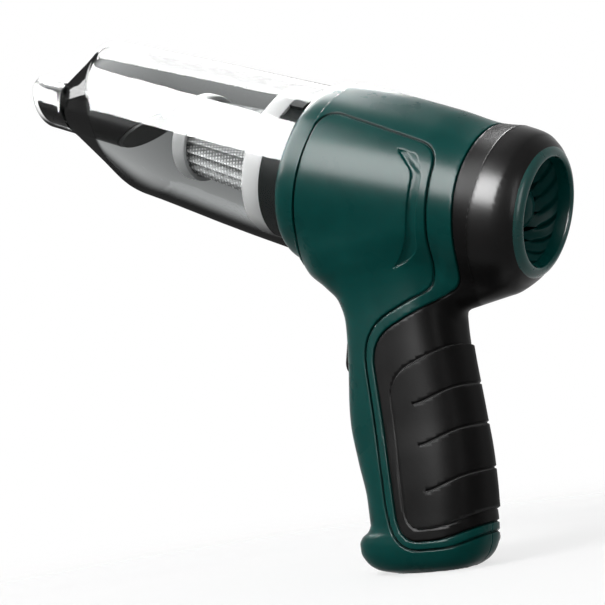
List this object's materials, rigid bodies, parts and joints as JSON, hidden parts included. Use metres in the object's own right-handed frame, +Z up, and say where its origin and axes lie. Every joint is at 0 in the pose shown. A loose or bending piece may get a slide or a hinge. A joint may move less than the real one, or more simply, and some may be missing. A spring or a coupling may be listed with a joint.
{
  "type": "handheld vacuum blower",
  "caption": "Cordless pistol-grip vacuum blower with a clear dust cup that twists off, a pleated filter, a press button and a swirl-slotted rear blower port.",
  "frame": {"origin": "On the flat base under the grip, midway between the sides.", "axes": "X points rearwards from the nose to the blower port, Y points to the right-hand side as held, Z points up out of the base."},
  "size_m": [0.2346, 0.0712, 0.2319],
  "materials": {
    "smoked_clear": "clear smoked polycarbonate, polished",
    "inlet_black": "gloss black moulding",
    "flap_grey": "soft grey rubber",
    "steel": "bright ground steel",
    "white_plastic": "satin white moulding",
    "filter_mesh": "fine woven filter mesh, folded",
    "seat_black": "satin black-green moulding",
    "seal_rubber": "plain black rubber",
    "green_plastic": "satin dark teal-green moulding with a fine grain",
    "cover_black": "satin to gloss black moulding",
    "pad_black": "soft-touch black, ribbed",
    "grille_green": "satin dark green moulding",
    "fan_grey": "plain light grey moulding",
    "shroud_grey": "plain dark grey moulding",
    "brass": "turned brass",
    "motor_metal": null,
    "cell_wrap": null,
    "contact_metal": "nickel strip",
    "board_green": "circuit board laminate",
    "parts_black": "moulded electronic parts",
    "inner_black": "plain black moulding",
    "cap_ivory": "plain ivory moulding",
    "button_black": "gloss black moulding"
  },
  "bodies": {
    "housing": {"filter_cap": "white_plastic", "filter_pleats": "filter_mesh", "filter_frame": "white_plastic", "cup_seat": "seat_black", "cup_gasket": "seal_rubber", "front_collar": "green_plastic", "left_shell": "green_plastic", "right_shell": "green_plastic", "grip_cover": "cover_black", "grip_pad": "pad_black", "exhaust_bezel": "green_plastic", "exhaust_grille": "grille_green", "fan_shroud": "shroud_grey", "front_bearing": "steel", "rear_bearing": "steel", "motor_can": "motor_metal", "motor_end_cap": "cap_ivory", "motor_plate": "shroud_grey", "motor_ring": "seal_rubber", "motor_screws": "steel", "battery_cells": "cell_wrap", "cell_cradle": "inner_black", "cell_contacts": "contact_metal", "control_board": "board_green", "board_parts": "parts_black", "charge_socket": "inner_black", "power_switch": "inner_black", "switch_bracket": "inner_black", "shell_screws": "steel"},
    "cup": {"dust_cup": "smoked_clear", "inlet_tube": "inlet_black", "flap_pin": "steel"},
    "flap": {"inlet_flap": "flap_grey"},
    "rotor": {"impeller": "fan_grey", "impeller_nut": "brass", "motor_shaft": "steel"},
    "button": {"power_button": "button_black", "switch_plunger": "cap_ivory"}
  },
  "joints": [
    {"name": "cup_twist", "type": "hinge", "parent": "housing", "child": "cup", "pos_m": [-0.0296, 0, 0.1552], "axis": [0.9033, 0, -0.4289], "range_deg": [0, 18]},
    {"name": "flap_hinge", "type": "hinge", "parent": "cup", "child": "flap", "pos_m": [-0.10062, 0, 0.19463], "axis": [0, -1, 0], "range_deg": [0, 40], "stiffness_Nm_per_rad": 0.002, "springref_deg": -14.32},
    {"name": "rotor_spin", "type": "hinge", "parent": "housing", "child": "rotor", "pos_m": [-0.0025, 0, 0.14233], "axis": [0.9033, 0, -0.4289], "continuous": true},
    {"name": "button_press", "type": "slide", "parent": "housing", "child": "button", "axis": [1, 0, 0], "range_m": [0, 0.0015], "stiffness_N_per_m": 300, "springref_m": -0.001}
  ]
}
